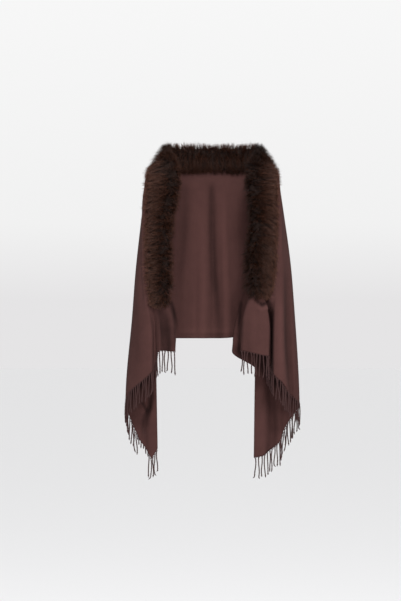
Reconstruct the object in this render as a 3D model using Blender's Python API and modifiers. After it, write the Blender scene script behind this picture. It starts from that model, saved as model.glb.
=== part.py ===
"""Fur-trimmed shawl, hanging in the hollow form that it has when it is worn.

Metres, +Z up, front towards -Y, +X to the right as seen from the front.
The origin lies between the shoulders, at the height where the shawl rests on its wearer.
The cloth is one long rectangle. Its top edge carries the fur: round the neck, over both
shoulders and down the fronts. Its two short ends carry the twisted fringe.
"""
import math
from collections import namedtuple

import bpy
import numpy as np

MM = 0.001

# Driving sizes, in millimetres.
WALL = 1.8                 # thickness of the brushed twill
SEAM = 0.6                 # gap between the middles of two stretches, 0.3 at the wall's corners
FUR_SEAM = 1.3             # gap between the fur's skin edge and the middle of the cloth sewn to it
STRAND_LENGTH = 80
STRAND_WIDTH = 3.2
STRAND_PITCH = 10.6        # along the short end
STRAND_SPREAD = 6.0        # least sideways distance of two strands where the end hangs steeply
STRIP_HEIGHT = 2.6         # the knotted row that the strands spring from
STRIP_GAP = 1.2
PATH_STEP = 0.5            # step along the edge when strands are spaced
CORNER_CLEAR = 2.3         # the row has no section of its own this close to a strand's middle
LOOK = 2                   # steps either way from which the edge's direction is read
STRAND_ROOT = (5, 3)       # the strand's bend: this far on from the row and this far down
STRAND_END = 8             # the last strand section stands this far above the nominal end
LENGTH_VARIES = 0.05
TAPER = (0.95, 0.9, 0.8)   # the strand's size at its bend, middle and tip
SWAY = (1.6, 2.2)          # how far a strand's middle strays along the edge and across it
BEHIND_CALM = 0.3          # share of the sway left to strands that hang against the cloth
FUR_SIDES = 16             # points round the fur's section
FUR_SQUARE = 2.3           # 2 is an ellipse, more is squarer
FUR_STEPS = 2              # rows of faces from one fur station to the next
FOLD_STEPS = 2             # columns of faces from one fold line to the next
TAIL_ROWS = {"left": 20, "right": 19}   # rows of faces from the shoulder to the tail's edge
PLEAT_ROWS = 13            # rows on the back and on the pleats
SLIP_HEIGHT = 250          # below the fur, the cloth eases into its folds over this height
SLIP_POWER = 3             # how fast it eases
FINE = 0.05                # step, in stations or fold lines, for reading a direction

SIDES = {"left": -1, "right": 1}

# The fur strip from the centre back over the shoulder and down the front: the middle of its
# section (out from the centre plane, depth behind the shoulder line, height), the lean of its
# width from straight down (0) to straight out (90 degrees), its width and its thickness.
Station = namedtuple("Station", "out depth height lean width thick")
FUR = {
    "left": (
        Station(0, 74, -12, 0, 106, 54),
        Station(60, 74, -12, 0, 106, 54),
        Station(112, 70, -12, 4, 106, 54),
        Station(148, 58, -11, 12, 106, 54),
        Station(174, 32, -14, 24, 106, 52),
        Station(188, 0, -21, 36, 108, 52),
        Station(186, -36, -32, 50, 112, 52),
        Station(180, -70, -52, 64, 118, 52),
        Station(177, -94, -78, 78, 124, 52),
        Station(179, -107, -118, 88, 126, 52),
        Station(186, -112, -170, 90, 118, 52),
        Station(192, -112, -240, 90, 104, 50),
        Station(194, -112, -310, 90, 98, 50),
        Station(194, -112, -380, 90, 100, 50),
        Station(193, -112, -450, 90, 94, 48),
        Station(191, -112, -505, 90, 88, 46),
        Station(191, -112, -527, 90, 80, 38),
        Station(191, -112, -536, 90, 62, 22),
    ),
    "right": (
        Station(0, 74, -12, 0, 106, 54),
        Station(60, 74, -12, 0, 106, 54),
        Station(108, 70, -12, 4, 106, 54),
        Station(144, 58, -12, 12, 106, 54),
        Station(172, 32, -15, 24, 106, 52),
        Station(186, 0, -23, 36, 108, 52),
        Station(184, -36, -35, 50, 112, 52),
        Station(177, -70, -56, 64, 118, 52),
        Station(173, -94, -80, 78, 122, 52),
        Station(174, -107, -120, 88, 120, 52),
        Station(178, -112, -170, 90, 114, 52),
        Station(181, -112, -240, 90, 108, 52),
        Station(178, -112, -310, 90, 114, 54),
        Station(174, -112, -370, 90, 120, 54),
        Station(172, -112, -430, 90, 112, 52),
        Station(170, -112, -476, 90, 102, 48),
        Station(170, -112, -497, 90, 88, 38),
        Station(170, -112, -507, 90, 66, 22),
    ),
}
BACK_SPLIT = 3.5           # station where the back piece of fur meets a front piece
FIRST_FRONT_KNOT = 9       # from this station down, the cloth follows the fur's outer side
ROUNDED_END = 2            # stations in the fur's rounded lower end

# Heights of the rings at which the folds are placed.
RINGS = (-200, -400, -600, -800, -1090)

# The fold lines of one half, from the centre back round the side to the front: the fur
# station where each starts, its place (out, depth) at each ring, and where it ends.
Fold = namedtuple("Fold", "name start chest waist hip knee low bottom")
FOLDS = {
    "left": (
        Fold("centre back", 0.00, (0, 84), (0, 88), (0, 90), (0, 90), (0, 90), -661),
        Fold("back ridge 1", 0.46, (28, 76), (29, 77), (30, 76), (30, 76), (30, 76), -661),
        Fold("back valley 1", 1.00, (60, 80), (62, 84), (64, 86), (64, 86), (64, 86), -661),
        Fold("back ridge 2", 1.70, (96, 75), (99, 76), (103, 76), (103, 76), (103, 76), -661),
        Fold("back valley 2", 2.50, (132, 78), (140, 82), (148, 86), (148, 86), (148, 86), -661),
        Fold("back ridge 3", 3.20, (168, 74), (180, 76), (198, 80), (198, 80), (198, 80), -660),
        Fold("outer pleat", 3.60, (206, 62), (232, 66), (252, 66), (260, 66), (260, 66), -658),
        Fold("pleat return", 3.90, (209, 46), (220, 48), (226, 48), (226, 48), (226, 48), -668),
        Fold("inner pleat", 4.15, (207, 32), (200, 30), (190, 28), (186, 28), (186, 28), -694),
        Fold("hem line", 4.40, (218, 24), (212, 16), (207, 13), (204, 11), (199, 8), -1058),
        Fold("tail 1", 4.65, (227, 19), (229, 13), (227, 11), (222, 8), (222, 4), -1094),
        Fold("tail 2", 4.90, (235, 13), (246, 9), (250, 9), (246, 11), (246, 9), -1051),
        Fold("tail 3", 5.15, (241, 8), (259, 6), (266, 4), (266, 3), (264, 4), -1026),
        Fold("tail 4", 5.40, (246, 1), (269, 0), (281, -2), (286, -4), (281, -1), -985),
        Fold("side", 5.70, (250, -14), (275, -18), (291, -22), (309, -24), (316, -24), -893),
        Fold("front 1", 6.30, (252, -42), (274, -52), (287, -57), (303, -58), (305, -58), -857),
        Fold("front 2", 7.00, (252, -70), (266, -82), (270, -87), (276, -87), (278, -87), -829),
        Fold("front 3", 7.80, (250, -92), (255, -99), (248, -101), (247, -99), (247, -99), -805),
        Fold("front roll", 8.50, None, None, (226, -108), (222, -105), (222, -105), -781),
        Fold("trim line", 9.00, None, None, (217, -97), (214, -93), (214, -93), -772),
    ),
    "right": (
        Fold("centre back", 0.00, (0, 84), (0, 88), (0, 90), (0, 90), (0, 90), -661),
        Fold("back ridge 1", 0.43, (26, 77), (27, 79), (28, 80), (28, 80), (28, 80), -661),
        Fold("back ridge 2", 0.78, (46, 73), (48, 73), (50, 73), (50, 73), (50, 73), -660),
        Fold("back valley 1", 1.40, (80, 80), (84, 84), (88, 87), (88, 87), (88, 87), -657),
        Fold("back ridge 3", 2.40, (122, 75), (130, 76), (138, 78), (138, 78), (138, 78), -657),
        Fold("back ridge 4", 3.15, (162, 75), (176, 78), (192, 80), (192, 80), (192, 80), -657),
        Fold("outer pleat", 3.60, (204, 64), (226, 68), (244, 68), (250, 68), (250, 68), -657),
        Fold("pleat return", 3.90, (205, 48), (190, 51), (172, 52), (168, 52), (168, 52), -668),
        Fold("inner pleat", 4.15, (199, 34), (146, 35), (84, 36), (63, 36), (63, 36), -706),
        Fold("hem line", 4.40, (214, 25), (186, 21), (156, 18), (151, 14), (147, 8), -1090),
        Fold("tail 1", 4.65, (224, 20), (208, 16), (188, 11), (181, 7), (181, 0), -1083),
        Fold("tail 2", 4.90, (232, 15), (228, 16), (216, 18), (212, 20), (214, 14), -1058),
        Fold("tail 3", 5.15, (239, 9), (248, 10), (244, 8), (239, 3), (240, -2), -1034),
        Fold("tail 4", 5.40, (245, 1), (264, 2), (272, 0), (264, 2), (262, 4), -978),
        Fold("side", 5.70, (249, -14), (277, -18), (294, -22), (306, -24), (312, -24), -896),
        Fold("front 1", 6.30, (251, -42), (277, -50), (287, -58), (293, -60), (295, -60), -875),
        Fold("front 2", 7.00, (248, -68), (266, -74), (270, -72), (274, -70), (276, -70), -861),
        Fold("front 3", 7.80, (242, -90), (252, -99), (246, -106), (243, -106), (243, -106), -812),
        Fold("front roll", 8.50, None, None, (222, -110), (219, -108), (219, -108), -790),
        Fold("trim line", 9.00, None, None, (214, -97), (212, -93), (212, -93), -780),
    ),
}
RETURN, HEM, TAIL_END, ROLL, TRIM = 7, 9, 12.5, 18, 19
ROLL_OFFSET = (8, 3)       # the front roll lies this far out and behind the fur's outer side

# The front end below the fur: (out, depth) of its folds at the fur's end, half way and at the
# fringe, and where each ends. The deep valley beside the front layer opens under the fur.
EndFold = namedtuple("EndFold", "name top middle fringe bottom")
END_HEIGHTS = {"left": (-538, -600, -705), "right": (-509, -590, -715)}
END_FOLDS = {
    "left": (
        EndFold("valley wall", (216, -104), (212, -90), (210, -88), -758),
        EndFold("valley", (213, -109), (209, -89), (206, -87), -743),
        EndFold("front wall", (209, -112), (206, -92), (202, -91), -725),
        EndFold("front roll", (204, -112), (200, -99), (197, -99), -709),
        EndFold("front 1", (194, -112), (189, -104), (189, -106), -703),
        EndFold("front valley", (178, -111), (172, -98), (172, -98), -703),
        EndFold("front 2", (164, -111), (150, -107), (151, -110), -705),
        EndFold("front edge", (152, -111), (134, -107), (134, -107), -706),
    ),
    "right": (
        EndFold("valley wall", (197, -112), (207, -62), (206, -52), -765),
        EndFold("valley", (192, -112), (199, -50), (199, -42), -751),
        EndFold("front wall", (187, -112), (192, -84), (191, -80), -738),
        EndFold("front roll", (181, -113), (198, -114), (198, -113), -722),
        EndFold("front 1", (168, -112), (174, -119), (171, -117), -717),
        EndFold("front 2", (152, -111), (147, -114), (146, -113), -711),
        EndFold("front 3", (138, -111), (118, -118), (120, -116), -706),
        EndFold("front edge", (126, -111), (105, -110), (97, -108), -702),
    ),
}

# On the left tail the fringed edge is turned under, so its strands hang behind the cloth and
# only their tips show below the fold. The corner beyond it hangs free.
TURNED_UNDER = 62          # height of the strands' roots above the fold
TURNED = (10.45, 12.4)     # fold lines between which the edge is turned under
CORNER_END = 10.4
BEHIND = 3.4               # from the middle of the wall to the middle of the strands behind it

Paint = namedtuple("Paint", "name colour roughness")
CLOTH = Paint("brushed_twill", (0.085, 0.036, 0.033), 0.85)
FUR_PILE = Paint("fur_pile", (0.028, 0.014, 0.010), 0.75)
YARN = Paint("twisted_yarn", (0.075, 0.032, 0.030), 0.85)


def smooth(at, knots, values):
    """A smooth curve through the values, one row for each knot, read at one place."""
    knots = np.asarray(knots, float)
    values = np.asarray(values, float)
    at = min(max(at, knots[0]), knots[-1])
    slopes = np.gradient(values, knots, axis=0)
    i = min(int(np.searchsorted(knots, at, side="right")) - 1, len(knots) - 2)
    span = knots[i + 1] - knots[i]
    u = (at - knots[i]) / span
    start = (1 + 2 * u) * (1 - u) ** 2 * values[i] + u * (1 - u) ** 2 * span * slopes[i]
    end = u * u * (3 - 2 * u) * values[i + 1] + u * u * (u - 1) * span * slopes[i + 1]
    return start + end


def unit(vector):
    return vector / np.linalg.norm(vector)


def fur_frame(side, station):
    """Middle of the fur's section, its width and thickness directions, half width and half thickness."""
    rows = FUR[side]
    knots = range(len(rows))

    def middle(at):
        out, depth, height = smooth(at, knots, [row[:3] for row in rows])
        return np.array((SIDES[side] * out, depth, height))

    along = unit(middle(station + FINE) - middle(station - FINE))
    lean, width, thick = smooth(station, knots, [row[3:] for row in rows])
    lean = math.radians(lean)
    across = np.array((SIDES[side] * math.sin(lean), 0, -math.cos(lean)))
    across = unit(across - along * across.dot(along))
    through = np.cross(along, across)
    return middle(station), across, through, width / 2, thick / 2, along


def fur_seam(side, station):
    """The point where the cloth's wall meets the fur's outer or lower side."""
    middle, across, _, half_width, _, _ = fur_frame(side, station)
    return middle + across * (half_width + FUR_SEAM)


def fold_line(side, index):
    """Heights and places (x, y) that a fold line passes, from low to high."""
    fold = FOLDS[side][index]
    sign = SIDES[side]
    places = [(height, sign * place[0], place[1])
              for height, place in zip(RINGS, fold[2:7]) if place is not None]
    if index >= ROLL:
        shift = np.array(ROLL_OFFSET if index == ROLL else (0, 0))
        for station in range(FIRST_FRONT_KNOT, len(FUR[side]) - ROUNDED_END):
            x, y, height = fur_seam(side, station)
            places.append((height, x + sign * shift[0], y + shift[1]))
    else:
        x, y, height = fur_seam(side, fold.start)
        places.append((height, x, y))
    return sorted(places)


FOLD_LINES = {side: [fold_line(side, i) for i in range(len(FOLDS[side]))] for side in SIDES}


def section_point(side, fold, height):
    """The cloth at a place between fold lines and at a height: a point (x, y, z)."""
    places = []
    for line in FOLD_LINES[side]:
        heights = [place[0] for place in line]
        places.append(smooth(height, heights, [place[1:] for place in line]))
    x, y = smooth(fold, range(len(places)), places)
    return np.array((x, y, height))


def fold_top(side, fold):
    """Where a fold line leaves the fur."""
    starts = [row.start for row in FOLDS[side]]
    return fur_seam(side, np.interp(fold, range(len(starts)), starts))


def fold_bottom(side, fold, cut_at=None):
    """Height of the cloth's lower edge; cut_at gives the hem line's end on the pleat's piece."""
    ends = [row.bottom for row in FOLDS[side]]
    if cut_at is not None:
        ends[HEM] = cut_at
    return np.interp(fold, range(len(ends)), ends)


def cloth_point(side, fold, share, cut_at=None):
    """The wing's surface: fold counts fold lines, share runs from the fur (0) to the edge (1)."""
    top = fold_top(side, fold)
    height = top[2] + (fold_bottom(side, fold, cut_at) - top[2]) * share
    slip = top - section_point(side, fold, top[2])
    ease = max(0, 1 - (top[2] - height) / SLIP_HEIGHT) ** SLIP_POWER
    return section_point(side, fold, height) + slip * ease


def pleat_cut(side):
    """Where the hem line ends on the pleat's own piece: at one of the tail's rows."""
    return cloth_point(side, HEM, PLEAT_ROWS / TAIL_ROWS[side])[2]


def end_rows(side):
    """Heights on the trim line of the side piece's rows that lie below the fur."""
    rows = TAIL_ROWS[side]
    heights = [cloth_point(side, TRIM, r / rows)[2] for r in range(rows + 1)]
    return [height for height in heights if height < END_HEIGHTS[side][0]]


def end_point(side, fold, share, trim_top):
    """The front end below the fur; fold 0 is the trim line that it shares with the side piece."""
    heights = END_HEIGHTS[side]
    rows = END_FOLDS[side]
    bottoms = [FOLDS[side][TRIM].bottom] + [row.bottom for row in rows]
    top = np.interp(fold, (0, 1), (trim_top, heights[0]))
    height = top + (np.interp(fold, range(len(bottoms)), bottoms) - top) * share
    places = [section_point(side, TRIM, height)[:2]]
    for row in rows:
        low_to_high = [(SIDES[side] * place[0], place[1]) for place in (row.fringe, row.middle, row.top)]
        places.append(smooth(height, heights[::-1], low_to_high))
    x, y = smooth(fold, range(len(places)), places)
    return np.array((x, y, height))


def spaced(first, last, steps):
    """Numbers from first to last, with about this many steps to each whole number."""
    count = max(1, round(abs(last - first) * steps))
    return [first + (last - first) * i / count for i in range(count + 1)]


def new_object(name, vertices, faces, paint):
    mesh = bpy.data.meshes.new(name)
    mesh.from_pydata([tuple(point * MM) for point in vertices], [], faces)
    mesh.shade_smooth()
    part = bpy.data.objects.new(name, mesh)
    shawl.objects.link(part)
    part.data.materials.append(paint)
    return part


def cloth_sheet(name, columns, paint):
    """One stretch of cloth: columns of points from the fur down, thickened to the wall."""
    columns = [list(column) for column in columns]
    for edge, inner in ((0, 1), (-1, -2)):
        columns[edge] = [point + unit(inside - point) * SEAM / 2
                         for point, inside in zip(columns[edge], columns[inner])]
    rows = len(columns[0])
    vertices = [point for column in columns for point in column]
    faces = []
    for c in range(len(columns) - 1):
        for r in range(rows - 1):
            corner = c * rows + r
            faces.append((corner, corner + 1, corner + rows + 1, corner + rows))
    sheet = new_object(name, vertices, faces, paint)
    wall = sheet.modifiers.new("wall", "SOLIDIFY")
    wall.thickness = WALL * MM
    wall.offset = 0
    wall.use_even_offset = True
    return sheet


def wing_columns(side, first, last, rows, cut_at=None):
    return [[cloth_point(side, fold, r / rows, cut_at) for r in range(rows + 1)]
            for fold in spaced(first, last, FOLD_STEPS)]


def end_columns(side):
    """The end piece's columns; its rows meet the side piece's rows on the trim line."""
    heights = end_rows(side)
    shares = [(height - heights[0]) / (heights[-1] - heights[0]) for height in heights]
    return [[end_point(side, fold, share, heights[0]) for share in shares]
            for fold in spaced(0, len(END_FOLDS[side]), FOLD_STEPS)]


def make_cloth(paint):
    """The back, and on each side the pleat, the tail, the side and the end below the fur."""
    left_half = wing_columns("left", RETURN, 0, PLEAT_ROWS)
    right_half = wing_columns("right", 0, RETURN, PLEAT_ROWS)
    cloth_sheet("shawl_back", left_half + right_half[1:], paint)
    for side in SIDES:
        pleat = wing_columns(side, RETURN, HEM, PLEAT_ROWS, pleat_cut(side))
        cloth_sheet(f"shawl_{side}_pleat", pleat, paint)
        tail = wing_columns(side, HEM, TAIL_END, TAIL_ROWS[side])
        cloth_sheet(f"shawl_{side}_tail", tail, paint)
        front = wing_columns(side, TAIL_END, TRIM, TAIL_ROWS[side])
        cloth_sheet(f"shawl_{side}_side", front, paint)
        cloth_sheet(f"shawl_{side}_end", end_columns(side), paint)


def fur_ring(side, station, shift=0.0):
    """One section of the fur: a squared ellipse across the strip, moved along it by shift."""
    middle, across, through, half_width, half_thick, along = fur_frame(side, station)
    ring = []
    for i in range(FUR_SIDES):
        angle = 2 * math.pi * i / FUR_SIDES
        c, s = math.cos(angle), math.sin(angle)
        a = math.copysign(abs(c) ** (2 / FUR_SQUARE), c) * half_width
        b = math.copysign(abs(s) ** (2 / FUR_SQUARE), s) * half_thick
        ring.append(middle + across * a + through * b + along * shift)
    return ring


def fur_tube(name, rings, paint):
    """A closed body lofted through the sections."""
    vertices = [point for ring in rings for point in ring]
    faces = [tuple(reversed(range(FUR_SIDES)))]
    for k in range(len(rings) - 1):
        for i in range(FUR_SIDES):
            j = (i + 1) % FUR_SIDES
            low, high = k * FUR_SIDES, (k + 1) * FUR_SIDES
            faces.append((low + i, low + j, high + j, high + i))
    last = (len(rings) - 1) * FUR_SIDES
    faces.append(tuple(last + i for i in range(FUR_SIDES)))
    return new_object(name, vertices, faces, paint)


def make_fur(paint):
    """The fur strip in three lengths: round the neck and down each front."""
    left = [fur_ring("left", s) for s in spaced(BACK_SPLIT, 0, FUR_STEPS)]
    right = [fur_ring("right", s) for s in spaced(0, BACK_SPLIT, FUR_STEPS)]
    left[0] = fur_ring("left", BACK_SPLIT, -SEAM / 2)
    right[-1] = fur_ring("right", BACK_SPLIT, -SEAM / 2)
    # The left half runs the other way along the strip, so its sections are turned to match.
    left = [[ring[-i % FUR_SIDES] for i in range(FUR_SIDES)] for ring in left]
    fur_tube("fur_back", left + right[1:], paint)
    for side in SIDES:
        last = len(FUR[side]) - 1
        rings = [fur_ring(side, s) for s in spaced(BACK_SPLIT, last, FUR_STEPS)]
        rings[0] = fur_ring(side, BACK_SPLIT, SEAM / 2)
        fur_tube(f"fur_{side}", rings, paint)


def strand_places(path):
    """Indices on a fine path where strands spring: even along the end, never too close sideways."""
    places = []
    run, sideways = STRAND_PITCH / 2, STRAND_SPREAD / 2
    for i in range(1, len(path)):
        step = path[i] - path[i - 1]
        run += np.linalg.norm(step)
        sideways += math.hypot(step[0], step[1])
        if run >= STRAND_PITCH and sideways >= STRAND_SPREAD:
            places.append(i)
            run = sideways = 0.0
    if run < STRAND_PITCH / 2 or sideways < STRAND_SPREAD / 2:
        places.pop()
    return places


def fringe(name, points, paint, calm=1.0):
    """A knotted row along the cloth's edge, parted from it, and its hanging strands.
    Strands close to a cloth sway less, by the factor calm."""
    path, corners = fine_path(points)
    places = strand_places(path)
    down = np.array((0.0, 0.0, -1.0))
    half = STRAND_WIDTH / 2
    near = math.ceil(CORNER_CLEAR / PATH_STEP)

    def directions(i):
        along = unit(path[min(i + LOOK, len(path) - 1)] - path[max(i - LOOK, 0)])
        face = unit(np.cross(along, down))
        return along, face, np.cross(face, along)

    vertices, faces = [], []

    def stop(i, offset):
        """A section of the knotted row; gives its first corner's number."""
        along, face, away = directions(i)
        above = path[i] + along * offset + away * STRIP_GAP
        below = above + away * STRIP_HEIGHT
        vertices.extend([above - face * half, above + face * half, below + face * half, below - face * half])
        return len(vertices) - 4

    def join(first, second, sides):
        faces.extend((second + a, second + b, first + b, first + a) for a, b in sides)

    def strand(number, first, second):
        """A strand that springs from the row between two of its sections."""
        i = places[number]
        along, face, away = directions(i)
        level = unit(along * (1, 1, 0))
        length = STRAND_LENGTH * (1 + LENGTH_VARIES * math.sin(2.3 * number))
        sideways, forwards = SWAY
        sway = level * sideways * math.sin(1.7 * number) + face * forwards * math.sin(2.9 * number + 1)
        sway *= calm
        on, lower = STRAND_ROOT
        bend = path[i] + away * (STRIP_GAP + STRIP_HEIGHT + on) + down * lower
        middle = bend + down * length / 2 + sway
        tip = bend + down * (length - STRAND_END) + sway / 2
        root = [second + 3, second + 2, first + 2, first + 3]
        for point, size in zip((bend, middle, tip), TAPER):
            base = len(vertices)
            reach, deep = level * half * size, face * half * size
            vertices.extend([point + reach - deep, point + reach + deep,
                             point - reach + deep, point - reach - deep])
            ring = [base, base + 1, base + 2, base + 3]
            for a in range(4):
                b = (a + 1) % 4
                faces.append((ring[a], ring[b], root[b], root[a]))
            root = ring
        faces.append(tuple(reversed(root)))

    whole_row = ((0, 1), (1, 2), (2, 3), (3, 0))
    open_below = ((0, 1), (1, 2), (3, 0))
    stops = [(i, None) for i in corners if all(abs(i - place) > near for place in places)]
    stops += [(place, number) for number, place in enumerate(places)]
    last = None
    for i, number in sorted(stops, key=lambda item: item[0]):
        if number is None:
            section = stop(i, 0)
        else:
            section = stop(i, -half)
        if last is None:
            faces.append(tuple(range(section, section + 4)))
        else:
            join(last, section, whole_row)
        last = section
        if number is not None:
            last = stop(i, half)
            join(section, last, open_below)
            strand(number, section, last)
    faces.append(tuple(reversed(range(last, last + 4))))
    return new_object(name, vertices, faces, paint)


def fine_path(points):
    """The cloth's lower edge as it is built, straight from column to column, in short steps,
    and the numbers of the steps at its corners."""
    path, corners = [], []
    for start, end in zip(points, points[1:]):
        count = math.ceil(np.linalg.norm(end - start) / PATH_STEP)
        corners.append(len(path))
        path += [start + (end - start) * i / count for i in range(count)]
    return path + [points[-1]], corners[1:]


def turned_edge(side):
    """The fringed edge of the turned-under stretch, behind the cloth."""
    points = []
    for fold in spaced(*TURNED, 2 * FOLD_STEPS):
        drop = fold_top(side, fold)[2] - fold_bottom(side, fold)
        share = 1 - TURNED_UNDER / drop
        step = cloth_point(side, fold + FINE, share) - cloth_point(side, fold - FINE, share)
        backwards = unit(np.array((-step[1], step[0], 0)))
        backwards *= math.copysign(BEHIND, backwards[1])
        points.append(cloth_point(side, fold, share) + backwards)
    return points


def make_fringe(paint):
    """The fringe of each short end, in one row for each stretch of cloth."""
    for side in SIDES:
        fringe(f"fringe_{side}_end", [column[-1] for column in end_columns(side)], paint)
        front = [cloth_point(side, f, 1) for f in spaced(TAIL_END, TRIM, FOLD_STEPS)]
        fringe(f"fringe_{side}_side", front, paint)
    tail = [cloth_point("right", f, 1) for f in spaced(HEM, TAIL_END, FOLD_STEPS)]
    fringe("fringe_right_tail", tail, paint)
    corner = [cloth_point("left", f, 1) for f in (*spaced(HEM, HEM + 1, FOLD_STEPS), CORNER_END)]
    fringe("fringe_left_corner", corner, paint)
    fringe("fringe_left_tail", turned_edge("left"), paint, calm=BEHIND_CALM)


def new_material(paint):
    material = bpy.data.materials.new(paint.name)
    material.use_nodes = True
    shader = material.node_tree.nodes["Principled BSDF"]
    shader.inputs["Base Color"].default_value = (*paint.colour, 1)
    shader.inputs["Roughness"].default_value = paint.roughness
    shader.inputs["Metallic"].default_value = 0
    return material


for leftover in list(bpy.data.objects):
    bpy.data.objects.remove(leftover)
shawl = bpy.data.collections.new("fur_trimmed_shawl")
bpy.context.scene.collection.children.link(shawl)

make_cloth(new_material(CLOTH))
make_fur(new_material(FUR_PILE))
make_fringe(new_material(YARN))
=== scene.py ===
# %% [markdown]
# # A fur-trimmed shawl
# One long rectangle of brushed twill, with a strip of fur along its top edge and a twisted fringe
# on each short end. It hangs as it does on a wearer: round the neck, over both shoulders and down
# the fronts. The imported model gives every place, so the new pieces are made from the same sizes.

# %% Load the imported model
import math
from collections import namedtuple

import bpy
import numpy as np
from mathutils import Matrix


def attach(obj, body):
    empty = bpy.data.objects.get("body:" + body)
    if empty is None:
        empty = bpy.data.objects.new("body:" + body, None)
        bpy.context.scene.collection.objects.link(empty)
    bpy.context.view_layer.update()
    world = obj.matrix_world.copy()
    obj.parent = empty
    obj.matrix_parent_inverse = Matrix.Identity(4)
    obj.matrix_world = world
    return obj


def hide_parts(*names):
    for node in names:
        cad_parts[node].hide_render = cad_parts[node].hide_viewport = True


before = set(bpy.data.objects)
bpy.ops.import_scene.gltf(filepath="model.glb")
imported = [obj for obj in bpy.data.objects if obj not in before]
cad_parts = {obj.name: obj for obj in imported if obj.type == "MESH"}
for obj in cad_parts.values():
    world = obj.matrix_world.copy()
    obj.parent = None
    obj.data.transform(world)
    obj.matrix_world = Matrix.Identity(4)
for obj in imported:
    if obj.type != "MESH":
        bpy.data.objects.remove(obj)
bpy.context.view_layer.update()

# %% [markdown]
# ## Camera
# The photograph was taken level, from the front and from far away. A camera could be placed by
# eye, but then no pixel would stand for a known length. So the lens is worked out: at the
# shawl's distance each pixel of the picture covers 3.6 mm.

# %% Camera
MM = 0.001
PIXEL = 3.6 * MM
PHOTO_WIDE, PHOTO_HIGH = 401, 601
ZERO_ACROSS, ZERO_DOWN = 213, 155  # the pixel where the model's zero lies
AWAY = 9.0
SENSOR = 24
scene = bpy.context.scene
camera = bpy.data.objects.new("camera", bpy.data.cameras.new("camera"))
scene.collection.objects.link(camera)
camera.location = ((PHOTO_WIDE / 2 - ZERO_ACROSS) * PIXEL, -AWAY, (ZERO_DOWN - PHOTO_HIGH / 2) * PIXEL)
camera.rotation_euler = (math.radians(90), 0, 0)
camera.data.sensor_fit = "VERTICAL"
camera.data.sensor_height = SENSOR
camera.data.lens = SENSOR * AWAY / (PHOTO_HIGH * PIXEL)
camera.data.clip_end = 200
scene.camera = camera
print("lens in mm:", round(camera.data.lens, 1))

# %% [markdown]
# ## Light and floor
# The studio is a wide bright room. A picture of a room could light it, but a plain one is enough:
# a pale world that is greyer towards the horizon, one soft window high on the right for the
# shadows, and a large weak light from the front that opens them. The floor lies below the picture.


# %% Colours and the room
def linear(code):
    """Turn an sRGB hex colour into the linear red, green, blue and alpha that shaders use."""
    parts = [int(code[i:i + 2], 16) / 255 for i in (1, 3, 5)]
    return [c / 12.92 if c <= 0.04045 else ((c + 0.055) / 1.055) ** 2.4 for c in parts] + [1.0]


scene.view_settings.view_transform = "Standard"
scene.view_settings.look = "None"
world = bpy.data.worlds.new("bright_room")
world.use_nodes = True
scene.world = world


def area_light(name, place, aim, size, power):
    """A round soft light at a place, turned towards its aim."""
    light = bpy.data.lights.new(name, "AREA")
    light.shape, light.size, light.energy = "DISK", size, power
    lamp = bpy.data.objects.new(name, light)
    scene.collection.objects.link(lamp)
    lamp.location = place
    way = np.array(aim) - np.array(place)
    tilt = math.acos(-way[2] / np.linalg.norm(way))
    lamp.rotation_euler = (tilt, 0, math.atan2(way[1], way[0]) - math.pi / 2)


area_light("window", (0.75, -5.0, 4.0), (0, 0, -0.5), 1.3, 560)
area_light("fill", (-0.8, -7.4, 0.2), (0, 0, -0.5), 4.0, 150)


# %% Helpers for finishes, and the room's tones
def node(tree, kind, settings=None, links=None):
    """Add a node; settings are its values by name, links feed its sockets by name or number."""
    new = tree.nodes.new("ShaderNode" + kind)
    for name, value in (settings or {}).items():
        if isinstance(name, str) and hasattr(new, name):
            setattr(new, name, value)
        else:
            new.inputs[name].default_value = value
    for name, socket in (links or {}).items():
        tree.links.new(socket, new.inputs[name])
    return new


def material(name, roughness, specular, code=None):
    """A new material; gives the material, its node tree and its main shader."""
    new = bpy.data.materials.new(name)
    new.use_nodes = True
    shader = new.node_tree.nodes["Principled BSDF"]
    shader.inputs["Roughness"].default_value = roughness
    shader.inputs["Specular IOR Level"].default_value = specular
    if code:
        shader.inputs["Base Color"].default_value = linear(code)
    return new, new.node_tree, shader


# The room is greyer towards the horizon, so that no line shows where the floor ends.
sky = world.node_tree
towards = node(sky, "TexCoord")
split = node(sky, "SeparateXYZ", links={0: towards.outputs["Generated"]})
tone = node(sky, "ValToRGB", links={"Fac": split.outputs["Z"]})
tone.color_ramp.elements[0].color = linear("#e5e4e5")
tone.color_ramp.elements[1].color = linear("#f7f7f7")
tone.color_ramp.elements[1].position = 0.12
tone.color_ramp.elements.new(0.03).color = linear("#f1f1f1")
sky.links.new(tone.outputs["Color"], sky.nodes["Background"].inputs["Color"])
print("tones of the room:", len(tone.color_ramp.elements))

# %% Floor
FLOOR, FLOOR_REACH = -2.4, 60
bpy.ops.object.select_all(action="DESELECT")
bpy.ops.mesh.primitive_circle_add(
    vertices=96, radius=FLOOR_REACH, fill_type="NGON", location=(0, 0, FLOOR))
floor = bpy.context.object
floor.name = "floor"
bpy.ops.object.transform_apply(location=True)
floor.data.materials.append(material("matt_white_paint", 0.9, 0.5, "#e9e9ea")[0])
print("floor at", FLOOR)

# %% [markdown]
# ## The sizes
# Hanging cloth could be simulated, but then its folds would fall where they like. Here each fold
# of the photograph has its row of numbers. The fur strip is a row of stations from the centre
# back over the shoulder to the front. The cloth hangs from the strip's outer edge in fold lines.
# Each starts at a station and passes a place at each of five heights, and smooth curves through
# these few numbers give every point. The solids were built from the same tables.

# %% The fur strip's stations, in millimetres
SIDES = {"left": -1, "right": 1}
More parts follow.
